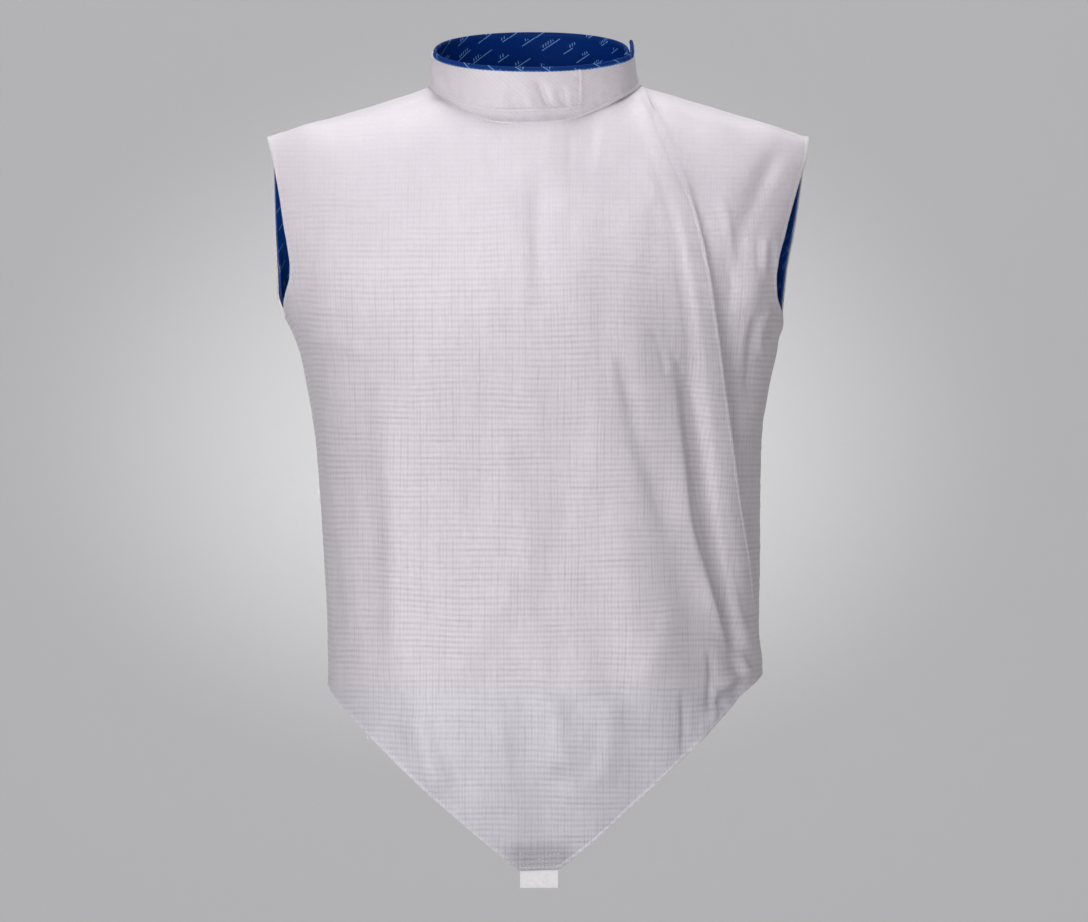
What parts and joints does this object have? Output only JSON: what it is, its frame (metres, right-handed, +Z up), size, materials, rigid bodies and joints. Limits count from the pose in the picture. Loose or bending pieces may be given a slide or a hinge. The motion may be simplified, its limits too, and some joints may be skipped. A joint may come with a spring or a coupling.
{
  "type": "fencing lame",
  "caption": "Sleeveless metallic-cloth fencing vest with stand collar, lapped side closure, pointed front hem and webbing loop, blue lined, filled out with no wearer.",
  "frame": {"origin": "on the shoulder line, midway between the wearer's shoulders, where the wearer's shoulders carry the vest", "axes": "+Z up, the front faces -Y, +X is the wearer's left"},
  "size_m": [0.455, 0.2603, 0.7124],
  "materials": {
    "foil_cloth": "silvery metallic ripstop cloth, soft sheen",
    "blue_lining": "smooth blue lining, satin",
    "white_webbing": "woven webbing, matte"
  },
  "bodies": {
    "root": {"front_panel": "foil_cloth", "side_front_panel": "foil_cloth", "back_panel": "foil_cloth", "collar_stand": "foil_cloth", "collar_strap": "foil_cloth", "front_lining": "blue_lining", "side_front_lining": "blue_lining", "back_lining": "blue_lining", "collar_lining": "blue_lining", "collar_roll": "blue_lining", "closure_tape": "white_webbing", "point_tab": "white_webbing"}
  },
  "joints": []
}
